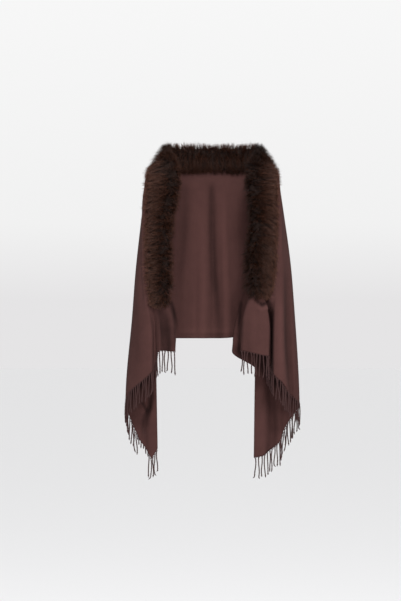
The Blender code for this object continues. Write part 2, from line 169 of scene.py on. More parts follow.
# Each row: the middle's place out to the side, in depth and in height, the lean of the section
# in degrees, its width and its thickness.
FUR = {"left": (
    (0, 74, -12, 0, 106, 54),
    (60, 74, -12, 0, 106, 54),
    (112, 70, -12, 4, 106, 54),
    (148, 58, -11, 12, 106, 54),
    (174, 32, -14, 24, 106, 52),
    (188, 0, -21, 36, 108, 52),
    (186, -36, -32, 50, 112, 52),
    (180, -70, -52, 64, 118, 52),
    (177, -94, -78, 78, 124, 52),
    (179, -107, -118, 88, 126, 52),
    (186, -112, -170, 90, 118, 52),
    (192, -112, -240, 90, 104, 50),
    (194, -112, -310, 90, 98, 50),
    (194, -112, -380, 90, 100, 50),
    (193, -112, -450, 90, 94, 48),
    (191, -112, -505, 90, 88, 46),
    (191, -112, -527, 90, 80, 38),
    (191, -112, -536, 90, 62, 22),
), "right": (
    (0, 74, -12, 0, 106, 54),
    (60, 74, -12, 0, 106, 54),
    (108, 70, -12, 4, 106, 54),
    (144, 58, -12, 12, 106, 54),
    (172, 32, -15, 24, 106, 52),
    (186, 0, -23, 36, 108, 52),
    (184, -36, -35, 50, 112, 52),
    (177, -70, -56, 64, 118, 52),
    (173, -94, -80, 78, 122, 52),
    (174, -107, -120, 88, 120, 52),
    (178, -112, -170, 90, 114, 52),
    (181, -112, -240, 90, 108, 52),
    (178, -112, -310, 90, 114, 54),
    (174, -112, -370, 90, 120, 54),
    (172, -112, -430, 90, 112, 52),
    (170, -112, -476, 90, 102, 48),
    (170, -112, -497, 90, 88, 38),
    (170, -112, -507, 90, 66, 22),
)}
BACK_SPLIT = 3.5  # the station where the back's fur meets a shoulder's
LAST_STATION = 17
FUR_SEAM = 1.3  # from the strip's edge to the middle of the cloth's wall
print("stations each side:", LAST_STATION + 1)

# %% The cloth's fold lines, in millimetres
RINGS = (-200, -400, -600, -800, -1090)
# Each row: name, station at the fur, height of the lower edge, and places (out, depth) at the
# heights above, of which the last also holds further down.
FOLDS = {"left": (
    ("centre back", 0.00, -661, (0, 84), (0, 88), (0, 90)),
    ("back ridge 1", 0.46, -661, (28, 76), (29, 77), (30, 76)),
    ("back valley 1", 1.00, -661, (60, 80), (62, 84), (64, 86)),
    ("back ridge 2", 1.70, -661, (96, 75), (99, 76), (103, 76)),
    ("back valley 2", 2.50, -661, (132, 78), (140, 82), (148, 86)),
    ("back ridge 3", 3.20, -660, (168, 74), (180, 76), (198, 80)),
    ("outer pleat", 3.60, -658, (206, 62), (232, 66), (252, 66), (260, 66)),
    ("pleat return", 3.90, -668, (209, 46), (220, 48), (226, 48)),
    ("inner pleat", 4.15, -694, (207, 32), (200, 30), (190, 28), (186, 28)),
    ("hem line", 4.40, -1058, (218, 24), (212, 16), (207, 13), (204, 11), (199, 8)),
    ("tail 1", 4.65, -1094, (227, 19), (229, 13), (227, 11), (222, 8), (222, 4)),
    ("tail 2", 4.90, -1051, (235, 13), (246, 9), (250, 9), (246, 11), (246, 9)),
    ("tail 3", 5.15, -1026, (241, 8), (259, 6), (266, 4), (266, 3), (264, 4)),
    ("tail 4", 5.40, -985, (246, 1), (269, 0), (281, -2), (286, -4), (281, -1)),
    ("side", 5.70, -893, (250, -14), (275, -18), (291, -22), (309, -24), (316, -24)),
    ("front 1", 6.30, -857, (252, -42), (274, -52), (287, -57), (303, -58), (305, -58)),
    ("front 2", 7.00, -829, (252, -70), (266, -82), (270, -87), (276, -87), (278, -87)),
    ("front 3", 7.80, -805, (250, -92), (255, -99), (248, -101), (247, -99)),
    ("front roll", 8.50, -781, None, None, (226, -108), (222, -105)),
    ("trim line", 9.00, -772, None, None, (217, -97), (214, -93)),
), "right": (
    ("centre back", 0.00, -661, (0, 84), (0, 88), (0, 90)),
    ("back ridge 1", 0.43, -661, (26, 77), (27, 79), (28, 80)),
    ("back ridge 2", 0.78, -660, (46, 73), (48, 73), (50, 73)),
    ("back valley 1", 1.40, -657, (80, 80), (84, 84), (88, 87)),
    ("back ridge 3", 2.40, -657, (122, 75), (130, 76), (138, 78)),
    ("back ridge 4", 3.15, -657, (162, 75), (176, 78), (192, 80)),
    ("outer pleat", 3.60, -657, (204, 64), (226, 68), (244, 68), (250, 68)),
    ("pleat return", 3.90, -668, (205, 48), (190, 51), (172, 52), (168, 52)),
    ("inner pleat", 4.15, -706, (199, 34), (146, 35), (84, 36), (63, 36)),
    ("hem line", 4.40, -1090, (214, 25), (186, 21), (156, 18), (151, 14), (147, 8)),
    ("tail 1", 4.65, -1083, (224, 20), (208, 16), (188, 11), (181, 7), (181, 0)),
    ("tail 2", 4.90, -1058, (232, 15), (228, 16), (216, 18), (212, 20), (214, 14)),
    ("tail 3", 5.15, -1034, (239, 9), (248, 10), (244, 8), (239, 3), (240, -2)),
    ("tail 4", 5.40, -978, (245, 1), (264, 2), (272, 0), (264, 2), (262, 4)),
    ("side", 5.70, -896, (249, -14), (277, -18), (294, -22), (306, -24), (312, -24)),
    ("front 1", 6.30, -875, (251, -42), (277, -50), (287, -58), (293, -60), (295, -60)),
    ("front 2", 7.00, -861, (248, -68), (266, -74), (270, -72), (274, -70), (276, -70)),
    ("front 3", 7.80, -812, (242, -90), (252, -99), (246, -106), (243, -106)),
    ("front roll", 8.50, -790, None, None, (222, -110), (219, -108)),
    ("trim line", 9.00, -780, None, None, (214, -97), (212, -93)),
)}
HEM, TAIL_END, ROLL, TRIM = 9, 12.5, 18, 19  # places in this table, counted in fold lines
ROLL_OFFSET = (8, 3)  # the front roll lies this far out and back from the fur's seam
FIRST_FRONT_KNOT, ROUNDED_END = 9, 2  # its first station, and the stations that it leaves out
SLIP_HEIGHT, SLIP_POWER = 250, 3  # over this height the cloth eases from the seam to its folds
Fold = namedtuple("Fold", "start bottom places")
for side, rows in FOLDS.items():
    FOLDS[side] = tuple(Fold(start, bottom, places + places[-1:] * (len(RINGS) - len(places)))
                        for _, start, bottom, *places in rows)
print("fold lines each side:", TRIM + 1)

# %% The front ends below the fur
# Each row: name, places at the three heights, which are the fur's end, half way and the fringe,
# and the height of the lower edge.
END_HEIGHTS = {"left": (-538, -600, -705), "right": (-509, -590, -715)}
END_FOLDS = {"left": (
    ("valley wall", (216, -104), (212, -90), (210, -88), -758),
    ("valley", (213, -109), (209, -89), (206, -87), -743),
    ("front wall", (209, -112), (206, -92), (202, -91), -725),
    ("front roll", (204, -112), (200, -99), (197, -99), -709),
    ("front 1", (194, -112), (189, -104), (189, -106), -703),
    ("front valley", (178, -111), (172, -98), (172, -98), -703),
    ("front 2", (164, -111), (150, -107), (151, -110), -705),
    ("front edge", (152, -111), (134, -107), (134, -107), -706),
), "right": (
    ("valley wall", (197, -112), (207, -62), (206, -52), -765),
    ("valley", (192, -112), (199, -50), (199, -42), -751),
    ("front wall", (187, -112), (192, -84), (191, -80), -738),
    ("front roll", (181, -113), (198, -114), (198, -113), -722),
    ("front 1", (168, -112), (174, -119), (171, -117), -717),
    ("front 2", (152, -111), (147, -114), (146, -113), -711),
    ("front 3", (138, -111), (118, -118), (120, -116), -706),
    ("front edge", (126, -111), (105, -110), (97, -108), -702),
)}
END_LINES = len(END_FOLDS["left"])
print("fold lines of a front end:", END_LINES)


# %% Curves through the sizes
def smooth(at, knots, values):
    """A smooth curve through the rows of values, read at many places at once."""
    knots = np.asarray(knots, float)
    values = np.asarray(values, float)
    at = np.clip(np.atleast_1d(np.asarray(at, float)), knots[0], knots[-1])
    slopes = np.gradient(values, knots, axis=0)
    i = np.clip(np.searchsorted(knots, at, side="right") - 1, 0, len(knots) - 2)
    span = (knots[i + 1] - knots[i])[:, None]
    u = (at - knots[i])[:, None] / span
    low = (i,) if values.ndim == 2 else (i, np.arange(len(at)))
    high = (i + 1,) + low[1:]
    start = (1 + 2 * u) * (1 - u) ** 2 * values[low] + u * (1 - u) ** 2 * span * slopes[low]
    end = u * u * (3 - 2 * u) * values[high] + u * u * (u - 1) * span * slopes[high]
    return start + end


def unit(vectors):
    return vectors / np.linalg.norm(vectors, axis=-1, keepdims=True)


def running(lengths):
    """The sum up to each place, from 0 on."""
    return np.concatenate([[0], np.cumsum(lengths)])


NEARBY = 0.05  # directions are read between places this far to both sides


def fur_frame(side, stations):
    """Middle, across, outward, along, half width and half thickness of the strip's section."""
    rows = np.array(FUR[side], float)
    knots = range(len(rows))

    def middle(at):
        return smooth(at, knots, rows[:, :3]) * (SIDES[side], 1, 1)

    stations = np.atleast_1d(np.asarray(stations, float))
    along = unit(middle(stations + NEARBY) - middle(stations - NEARBY))
    lean, width, thick = smooth(stations, knots, rows[:, 3:]).T
    lean = np.radians(lean)
    across = np.stack([SIDES[side] * np.sin(lean), lean * 0, -np.cos(lean)], 1)
    across = unit(across - along * (across * along).sum(1, keepdims=True))
    outward = np.cross(along, across) * SIDES[side]
    return middle(stations), across, outward, along, width[:, None] / 2, thick[:, None] / 2


def fur_seam(side, stations):
    """Where the cloth's wall meets the fur strip."""
    middle, across, _, _, half_width, _ = fur_frame(side, stations)
    return middle + across * (half_width + FUR_SEAM)


print("shoulder seam:", fur_seam("left", 5.7).round(1))


# %% The cloth's surface
def fold_line(side, index):
    """Rows (height, x, y) that a fold line passes, from low to high."""
    fold = FOLDS[side][index]
    sign = SIDES[side]
    rows = [(height, sign * place[0], place[1])
            for height, place in zip(RINGS, fold.places) if place is not None]
    if index >= ROLL:
        out, back = ROLL_OFFSET if index == ROLL else (0, 0)
        for x, y, height in fur_seam(side, range(FIRST_FRONT_KNOT, LAST_STATION + 1 - ROUNDED_END)):
            rows.append((height, x + sign * out, y + back))
    else:
        x, y, height = fur_seam(side, fold.start)[0]
        rows.append((height, x, y))
    return np.array(sorted(rows))


FOLD_LINES = {side: [fold_line(side, i) for i in range(TRIM + 1)] for side in SIDES}


def section(side, folds, heights):
    """Points of the cloth at places between fold lines and at heights."""
    places = [smooth(heights, line[:, 0], line[:, 1:]) for line in FOLD_LINES[side]]
    xy = smooth(folds, range(len(places)), places)
    return np.column_stack([xy, heights])


def between(folds, values):
    """One value for each fold line, read at places between them."""
    return np.interp(folds, range(len(values)), values)


def wing(side, folds, shares):
    """The cloth: folds count fold lines, shares run from the fur (0) to the lower edge (1)."""
    tops = fur_seam(side, between(folds, [row.start for row in FOLDS[side]]))
    ends = between(folds, [row.bottom for row in FOLDS[side]])
    heights = tops[:, 2] + (ends - tops[:, 2]) * shares
    slip = tops - section(side, folds, tops[:, 2])
    ease = np.maximum(0, 1 - (tops[:, 2] - heights) / SLIP_HEIGHT) ** SLIP_POWER
    return section(side, folds, heights) + slip * ease[:, None]


def front_end(side, folds, shares, trim_top):
    """The front end below the fur; fold 0 is the trim line that it shares with the side."""
    heights = END_HEIGHTS[side]
    rows = END_FOLDS[side]
    bottoms = [FOLDS[side][TRIM].bottom] + [row[-1] for row in rows]
    tops = np.interp(folds, (0, 1), (trim_top, heights[0]))
    levels = tops + (between(folds, bottoms) - tops) * shares
    places = [section(side, np.full(len(levels), TRIM), levels)[:, :2]]
    for _, top, middle, fringe, _ in rows:
        low_to_high = [(SIDES[side] * x, y) for x, y in (fringe, middle, top)]
        places.append(smooth(levels, heights[::-1], low_to_high))
    return np.column_stack([smooth(folds, range(len(places)), places), levels])


print("left hem corner:", wing("left", np.array([9.0]), np.array([1.0])).round(1))

# %% [markdown]
# ## The cloth
# The real shawl is one piece of twill. It could be built as one sheet for each part that shows,
# but seams would show between them, so it is one mesh here: a fine grid that follows the fold
# lines, welded where its stretches meet. It gets the cloth's thickness after the creases.

# %% The grid
FOLD_STEPS = 8  # columns from one fold line to the next
BACK_STEPS = 10
FINER = 6  # rows for each row of the solids
BACK_ROWS = 13 * FINER
TAIL_ROWS = {"left": 20 * FINER, "right": 19 * FINER}


def columns(first, last, steps=FOLD_STEPS):
    """Where the grid's columns lie, counted in fold lines."""
    return np.linspace(first, last, round(abs(last - first) * steps) + 1)


def trim_line(side):
    """The grid's points down the trim line."""
    rows = TAIL_ROWS[side]
    return wing(side, np.full(rows + 1, float(TRIM)), np.arange(rows + 1) / rows)


def back_bottom(side):
    """On the back's piece the hem line ends where the tail's hem begins."""
    return wing(side, np.array([float(HEM)]), np.array([BACK_ROWS / TAIL_ROWS[side]]))[0, 2]


TUCKS = np.array((20.0, 10.0))  # how deep the two topmost rows lie in the fur
cloth_points, cloth_faces, cloth_tags, cloth_runs = [], [], [], []


def add_grid(grid, tag):
    """Join a grid of points, given column by column, to the cloth."""
    base = sum(len(p) for p in cloth_points)
    count, rows = grid.shape[0], grid.shape[1] - 1
    cloth_points.append(grid.reshape(-1, 3))
    cloth_tags.extend([tag] * count * (rows + 1))
    run_out = running(np.linalg.norm(np.diff(grid, axis=0), axis=2).mean(axis=1))
    run_down = running(np.linalg.norm(np.diff(grid, axis=1), axis=2).mean(axis=0))
    cloth_runs.append(np.column_stack([np.repeat(run_out, rows + 1), np.tile(run_down, count)]) * MM)
    for c in range(count - 1):
        for r in range(rows):
            corner = base + c * (rows + 1) + r
            cloth_faces.append((corner, corner + 1, corner + rows + 2, corner + rows + 1))


def add_wing(side, first, last, rows, tag):
    """A stretch of cloth, with two more rows at the top that are tucked into the fur."""
    folds = columns(first, last, BACK_STEPS if rows == BACK_ROWS else FOLD_STEPS)
    shares = np.tile(np.arange(rows + 1) / rows, len(folds))
    points = wing(side, np.repeat(folds, rows + 1), shares).reshape(len(folds), rows + 1, 3)
    stations = between(folds, [row.start for row in FOLDS[side]])
    across = fur_frame(side, stations)[1][:, None]
    tucked = points[:, :1] - across * TUCKS[None, :, None]
    add_grid(np.concatenate([tucked, points], axis=1), tag)


def end_levels(side):
    """The heights of the trim line's points that lie below the fur."""
    levels = trim_line(side)[:, 2]
    return levels[levels < END_HEIGHTS[side][0]]


def add_front_end(side, first, last):
    """The stretch below the fur, which shares its levels with the trim line."""
    levels = end_levels(side)
    steps = (levels - levels[0]) / (levels[-1] - levels[0])
    folds = columns(first, last)
    points = front_end(side, np.repeat(folds, len(steps)), np.tile(steps, len(folds)), levels[0])
    points = points.reshape(len(folds), len(steps), 3)
    tucked = points[:, :1] + np.outer(TUCKS, (0, 0, 1))
    add_grid(np.concatenate([tucked, points], axis=1), side + " end")


def add_trim_tuck(side):
    """Beside the front fur the cloth's edge runs on into the strip."""
    line = trim_line(side)
    line = line[line[:, 2] > END_HEIGHTS[side][0]]
    inward = np.array((-SIDES[side], 0, 0))
    lines = [line, line + inward * TUCKS[1], line + inward * TUCKS[0]]
    if side == "left":
        lines.reverse()
    add_grid(np.stack(lines), side + " tuck")


def add_back(side, first, last):
    """The back and the pleat of one side, whose hem line ends at the tail's hem."""
    old = FOLDS[side]
    cut = old[HEM]._replace(bottom=back_bottom(side))
    FOLDS[side] = old[:HEM] + (cut,) + old[HEM + 1:]
    add_wing(side, first, last, BACK_ROWS, side + " back")
    FOLDS[side] = old


print("rows of the back and the tails:", BACK_ROWS, TAIL_ROWS)

# %% From the left front to the right front
add_front_end("left", END_LINES, 0)
add_wing("left", TRIM, HEM, TAIL_ROWS["left"], "left tail")
add_back("left", HEM, 0)
add_back("right", 0, HEM)
add_wing("right", HEM, TRIM, TAIL_ROWS["right"], "right tail")
add_front_end("right", 0, END_LINES)
for side in SIDES:
    add_trim_tuck(side)
print("grid points:", sum(len(p) for p in cloth_points), "faces:", len(cloth_faces))


# %% One welded mesh
def new_piece(name, points, faces, finish):
    """A mesh object from points in millimetres."""
    mesh = bpy.data.meshes.new(name)
    mesh.from_pydata((np.asarray(points) * MM).tolist(), [], faces)
    piece = bpy.data.objects.new(name, mesh)
    scene.collection.objects.link(piece)
    mesh.materials.append(finish)
    return piece


def edit(piece, operation, **settings):
    """Select this piece alone, and run one operation on all of its mesh."""
    bpy.ops.object.select_all(action="DESELECT")
    piece.select_set(True)
    bpy.context.view_layer.objects.active = piece
    bpy.ops.object.mode_set(mode="EDIT")
    bpy.ops.mesh.select_all(action="SELECT")
    operation(**settings)
    bpy.ops.object.mode_set(mode="OBJECT")


def keep(mesh, name, values):
    """Store one number for each vertex, which a finish can read by this name."""
    stored = mesh.attributes.new(name, "FLOAT", "POINT")
    stored.data.foreach_set("value", values.astype(np.float32))


WELD = 0.05 * MM
twill, twill_tree, twill_shader = material("brushed_wool_twill", 1.0, 0.08)
cloth = new_piece("shawl_cloth", np.concatenate(cloth_points), cloth_faces, twill)
uv = cloth.data.uv_layers.new(name="thread_run")
loops = np.empty(len(cloth.data.loops), np.int32)
cloth.data.loops.foreach_get("vertex_index", loops)
uv.data.foreach_set("uv", np.concatenate(cloth_runs)[loops].ravel())
STRETCHES = sorted(set(cloth_tags))
cloth.data.attributes.new("stretch", "INT", "POINT").data.foreach_set(
    "value", [STRETCHES.index(tag) for tag in cloth_tags])
edit(cloth, bpy.ops.mesh.remove_doubles, threshold=WELD)
print("welded vertices:", len(cloth.data.vertices))

# %% [markdown]
# ## Creases
# Hanging cloth also has soft folds that begin and end anywhere. They could be sculpted by hand,
# but a row of numbers can be read and changed. Each is a line pushed into the mesh: the cloth
# moves along its own surface direction, most on the line and less beside it. Each vertex also
# keeps a value of painted shade for the finish: darker in a hollow, lighter on a ridge.

# %% The creases, in millimetres
# A name, the stretches that it lies on, the depths between which it works, its width, and places
# (x, height, push), where a push below 0 is away from the front.
# A push below 0 also paints shade into the cloth's colour, and a push above 0 paints light.
Crease = namedtuple("Crease", "name stretch depths width path")
CREASES = (
    ("centre back fold", "back", (30, 140), 8,
     ((-5, -90, 0), (-5, -119, -3), (-4, -162, -4), (-3, -252, -5), (-1, -342, -5.5), (5, -450, -6),
      (14, -540, -4.5), (20, -630, -3), (22, -666, -3))),
    ("back band left", "back", (30, 140), 16,
     ((-54, -97, 0), (-50, -234, 4), (-43, -378, 5), (-40, -522, 5), (-47, -659, 6))),
    ("back band right", "back", (30, 140), 13,
     ((29, -97, 0), (32, -234, 4), (43, -414, 5), (54, -558, 3), (50, -659, 3))),
    ("back hollow left", "back", (30, 140), 12,
     ((-104, -126, -3), (-104, -234, -6), (-112, -342, -5), (-133, -486, -1))),
    ("back hollow low", "back", (30, 140), 9, ((83, -486, 0), (79, -558, -2), (76, -659, -2))),
    ("right ridge", "right tail", (-160, -40), 9,
     ((238, -486, 0), (241, -558, 4), (243, -702, 5), (248, -781, 5), (256, -828, 3))),
    ("right valley", "right tail", (-160, -20), 7,
     ((256, -385, 0), (263, -486, -5), (266, -630, -8), (270, -720, -8), (277, -810, -6),
      (284, -864, -5))),
    ("left hollow", "left tail", (-160, -10), 14,
     ((-270, -486, 0), (-272, -594, -3), (-277, -702, -4), (-284, -792, -2))),
    ("left tail fold", "left tail", (-20, 40), 6,
     ((-223, -781, -4), (-225, -875, -9), (-229, -911, -10), (-241, -940, -7), (-248, -990, -4),
      (-238, -1069, -2))),
    ("left tail ridge", "left tail", (-20, 40), 5,
     ((-241, -792, 3), (-241, -875, 6), (-245, -911, 6), (-259, -940, 2))),
    ("right tail valley", "right tail", (-20, 40), 9,
     ((205, -781, -4), (211, -882, -5), (214, -990, -5), (205, -1069, -4))),
    ("front valley left", "left end", (-160, -60), 12,
     ((-205, -533, -3), (-191, -576, -7), (-173, -630, -8), (-166, -684, -7), (-166, -709, -6))),
    ("pucker", "right end", (-160, -60), 4,
     ((148, -511, -1), (157, -527, -7), (173, -538, -9), (187, -533, -8), (194, -517, -3))),
    ("pucker ridge", "right end", (-160, -60), 5,
     ((148, -540, 0), (169, -558, 4.5), (191, -551, 4), (198, -536, 0))),
    ("deep valley right", "right end", (-100, -20), 9,
     ((200, -493, 0), (205, -594, -3), (207, -702, -5), (207, -781, -6))),
    ("front drape right", "right end", (-160, -60), 9, ((122, -558, -1), (119, -612, -3), (122, -702, -4))),
)
print("creases:", len(CREASES))

# %% Lines of painted shade and light in the cloth's colour
# Painted shade below a layer that hangs close in front and on what lies in its shadow, beside the
# fronts' edges, along the hem and in the pucker. A push above 0 paints light.
SHADED = (
    ("pucker", "right end", (-160, -60), 3,
     ((162, -536, -4), (176, -542, -6), (187, -533, -6), (193, -522, -3))),
    # Painted light, lifting the valley beside the left front.
    ("left valley, lit", "left end", (-160, -60), 8, ((-214, -522, 3), (-211, -612, 5), (-207, -702, 4))),
    ("centre back fold", "back", (30, 140), 5,
     ((-5, -90, 0), (-5, -126, -5), (-3, -252, -5), (5, -450, -5), (14, -540, -3), (22, -666, -2))),
    ("edge of the left front", "left end", (-160, -40), 4,
     ((-153, -533, -10), (-140, -572, -12), (-135, -601, -10), (-135, -684, -4))),
    ("edge of the right front", "right end", (-160, -40), 4,
     ((126, -518, -10), (108, -551, -12), (101, -587, -12), (99, -709, -8))),
    # Painted shade along the hem, and painted light in a band just above it.
    ("painted shade along the hem", "back", (30, 140), 3,
     ((-155, -648, -3), (-47, -649, -5), (32, -648, -5), (115, -647, -3))),
    ("painted light above the hem", "back", (30, 140), 5,
     ((-137, -634, 1), (-47, -634, 2.5), (32, -634, 2), (97, -634, 1))),
    ("beside the right front", "right back", (-60, 100), 3.5,
     ((103, -533, -11), (97, -580, -15), (95, -648, -15), (97, -731, -12))),
    ("beside the left front", "back", (30, 140), 3.5,
     ((-151, -529, -11), (-142, -562, -15), (-134, -598, -10), (-131, -637, -3))),
    ("under the left front", "left tail", (-30, 60), 10,
     ((-212, -778, -12), (-238, -799, -17), (-263, -821, -17), (-288, -842, -17), (-310, -864, -12))),
    ("left tail flap", "left tail", (-30, 60), 3,
     ((-256, -889, -10), (-247, -905, -13), (-238, -922, -10))),
    ("beside the left tail flap", "left tail", (-30, 60), 4,
     ((-223, -868, -1), (-230, -907, -2), (-239, -940, -2))),
    ("under the right front", "right tail", (-30, 60), 11,
     ((148, -760, -5), (176, -760, -12), (205, -788, -16), (234, -817, -16), (263, -846, -16),
      (302, -878, -12))),
    ("under the front end", "right tail", (-30, 60), 13,
     ((97, -702, -8), (133, -709, -11), (176, -724, -12), (205, -734, -12))),
    ("under the front end, pleat", "right back", (-30, 60), 13,
     ((90, -702, -8), (133, -709, -11), (176, -724, -11))),
    ("left tail", "left tail", (-30, 60), 40, ((-263, -900, -3), (-241, -972, -3), (-227, -1044, -1))),
    ("left front end", "left end", (-160, -40), 26,
     ((-180, -544, -3.5), (-169, -630, -4.5), (-169, -695, -4))),
)
print("shaded lines:", len(SHADED))

# %% Press a crease
# The pushes also paint shade into the cloth's colour: DARKER for each millimetre sunk, and as much light
# for each millimetre raised.
DARKER = 0.05  # share of brightness lost for each millimetre of push
DARK_SPREAD = 1.3  # the dark reaches this much wider than the push
LIGHTEST, DARKEST = -0.3, 0.75
PATH_FINER = 12  # points read on a line for each of its places
# Painted shade of each vertex, kept as "hollow"; below 0 it is painted light.
hollow = np.zeros(len(cloth.data.vertices))


def near_line(points, tags, crease):
    """The points of its stretches, the push of the line near each, and its distance in widths."""
    path = np.array(crease.path, float)
    t = np.linspace(0, len(path) - 1, PATH_FINER * len(path))
    line = np.column_stack([np.interp(t, range(len(path)), path[:, k]) for k in range(3)])
    here = np.isin(tags, [i for i, name in enumerate(STRETCHES) if crease.stretch in name])
    here &= (points[:, 1] > crease.depths[0]) & (points[:, 1] < crease.depths[1])
    chosen = np.flatnonzero(here)
    gaps = np.hypot(points[chosen, 0:1] - line[:, 0], points[chosen, 2:3] - line[:, 1])
    nearest = gaps.argmin(axis=1)
    gaps = gaps[range(len(chosen)), nearest] / crease.width
    return chosen, line[nearest, 2], gaps


def press(piece, crease, shapes=True):
    """Paint shade where the crease's line sinks and light where it rises; unless shapes is False, also push
    the cloth along its own surface direction, most on the line.
    """
    mesh = piece.data
    count = len(mesh.vertices)
    points, faces, tags = np.empty(count * 3), np.empty(count * 3), np.empty(count, np.int32)
    mesh.vertices.foreach_get("co", points)
    mesh.vertex_normals.foreach_get("vector", faces)
    mesh.attributes["stretch"].data.foreach_get("value", tags)
    points, faces = points.reshape(-1, 3) / MM, faces.reshape(-1, 3)
    chosen, push, gaps = near_line(points, tags, crease)
    # Painted shade where the line sinks, painted light where it rises.
    hollow[chosen] -= DARKER * push * np.exp(-(gaps / DARK_SPREAD) ** 2 / 2)
    if not shapes:
        return
    push = push * np.exp(-gaps ** 2 / 2)
    # A face that looks away from the front is turned round, so a push always means the same.
    face = faces[chosen] * np.clip(-3 * faces[chosen, 1:2], -1, 1)
    points[chosen] += face * push[:, None]
    mesh.vertices.foreach_set("co", (points * MM).ravel())
    mesh.update()


for row in CREASES:
    press(cloth, Crease(*row))
for row in SHADED:
    press(cloth, Crease(*row), shapes=False)
# The painted shade and light go to the finish as the attribute "hollow".
keep(cloth.data, "hollow", np.clip(hollow, LIGHTEST, DARKEST))
print("points in creases:", (hollow != 0).sum(), "of", len(hollow))

# %% [markdown]
# ## The cloth's thickness and finish
# This wool twill is woven in fine diagonal ribs and brushed to a short nap, so it is matt and
# slightly cloudy. A photograph of cloth could be laid on it, but waves and noise made by rule
# never repeat or blur. The ribs follow the threads through the mesh's own coordinates and are
# drawn 2.4 mm apart, coarser than real ones, so that they show.

# %% The wall
WALL = 1.8
wall = cloth.modifiers.new("wall", "SOLIDIFY")
wall.thickness, wall.offset = WALL * MM, 0
bpy.ops.object.modifier_apply(modifier="wall")
bpy.ops.object.shade_smooth()
count = len(cloth.data.vertices)
front_shade, faces = np.empty(count, np.float32), np.empty(count * 3, np.float32)
cloth.data.attributes["hollow"].data.foreach_get("value", front_shade)
cloth.data.vertex_normals.foreach_get("vector", faces)
# The painted shade stays only on faces towards the front: what is a hollow from the front is a
# ridge from behind, so the back keeps its plain colour.
front_shade *= np.clip(1 - 2 * faces[1::3], 0, 1)
cloth.data.attributes["hollow"].data.foreach_set("value", front_shade)
print("cloth vertices:", count)

# %% Ribs, nap and clouds
RIB = 2.4 * MM
WAVE_SCALE = 0.314  # the wave texture's scale for ribs one unit apart
runs = node(twill_tree, "UVMap", {"uv_map": "thread_run"})
places = node(twill_tree, "TexCoord")
slant = node(twill_tree, "Mapping", {"Rotation": (0, 0, math.radians(45))},
             {"Vector": runs.outputs["UV"]})
ribs = node(twill_tree, "TexWave",
            {"wave_profile": "SIN", "Scale": WAVE_SCALE / RIB, "Distortion": 1.2,
             "Detail": 2.0, "Detail Scale": 1.5}, {"Vector": slant.outputs["Vector"]})
nap = node(twill_tree, "TexNoise", {"Scale": 420.0, "Detail": 4.0, "Roughness": 0.7},
           {"Vector": places.outputs["Object"]})
clouds = node(twill_tree, "TexNoise", {"Scale": 26.0, "Detail": 3.0, "Roughness": 0.6},
              {"Vector": places.outputs["Object"]})
# The painted shade and light kept in each vertex.
painted_shade = node(twill_tree, "Attribute", {"attribute_name": "hollow"})
print("ribs in mm:", round(RIB / MM, 1))

# %% The twill's colour and relief
# The clouds and the flecks of the nap lighten and darken the dye; painted shade from the creases
# and shaded lines darkens it, and painted light lightens it.
tone = node(twill_tree, "Math", {"operation": "MULTIPLY_ADD", 1: 0.30, 2: -0.15},
            {0: clouds.outputs["Fac"]})
fleck = node(twill_tree, "Math", {"operation": "MULTIPLY_ADD", 1: 0.34},
             {0: nap.outputs["Fac"], 2: tone.outputs[0]})
value = node(twill_tree, "Math", {"operation": "SUBTRACT"},
             {0: fleck.outputs[0], 1: painted_shade.outputs["Fac"]})
raised = node(twill_tree, "Math", {"operation": "ADD", 1: 0.83}, {0: value.outputs[0]})
dye_and_painted_shade = node(twill_tree, "HueSaturation", {"Color": linear("#3a2523")},
            {"Value": raised.outputs[0]})
twill_tree.links.new(dye_and_painted_shade.outputs["Color"], twill_shader.inputs["Base Color"])
mixed = node(twill_tree, "Math", {"operation": "MULTIPLY_ADD", 1: 0.6},
             {0: nap.outputs["Fac"], 2: ribs.outputs["Fac"]})
relief = node(twill_tree, "Bump", {"Strength": 0.35, "Distance": 0.5 * MM},
              {"Height": mixed.outputs[0]})
twill_tree.links.new(relief.outputs["Normal"], twill_shader.inputs["Normal"])
print("nodes of the twill:", len(twill_tree.nodes))

# %% What the cloth belongs to
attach(cloth, "root")
CLOTH_NODES = [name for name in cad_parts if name.startswith("shawl_")]
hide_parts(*CLOTH_NODES)
print("cloth replaces", len(CLOTH_NODES), "nodes")

# %% [markdown]
# ## The underfur
# Fur grows from a strip of skin: a dense dark underfur, and longer guard hairs above it. Hair
# alone would need a hundred times as many hairs before nothing shines through, so a closed dark
# body stands for the underfur. Its sections are squared ellipses, set along the strip's stations.

# %% The strip's surface
FUR_SIDES = 48
FUR_SQUARE = 2.3  # 2 is an ellipse, and a higher number is more like a rectangle
UNDER = 14.5  # the underfur lies this far below the hair's surface
RING_STEP = 0.25


def ring_shape(angles):
    """Corners of a squared ellipse, and the way that it faces."""
    c, s = np.cos(angles)[:, None], np.sin(angles)[:, None]
    a = np.sign(c) * np.abs(c) ** (2 / FUR_SQUARE)
    b = np.sign(s) * np.abs(s) ** (2 / FUR_SQUARE)
    return a, b


def fur_point(side, stations, angles, under):
    """Points this far under the strip's surface, and what the hair needs to know there."""
    middle, across, outward, along, half_width, half_thick = fur_frame(side, stations)
    a, b = ring_shape(angles)
    power = FUR_SQUARE - 1
    faces = unit(across * np.sign(a) * np.abs(a) ** power / half_width
                 + outward * np.sign(b) * np.abs(b) ** power / half_thick)
    point = middle + across * a * (half_width - under) + outward * b * (half_thick - under)
    return point, faces, across, along, a


print("lower edge of the back's fur:", fur_point("left", [0.0], np.array([0.0]), 0)[0].round(1))


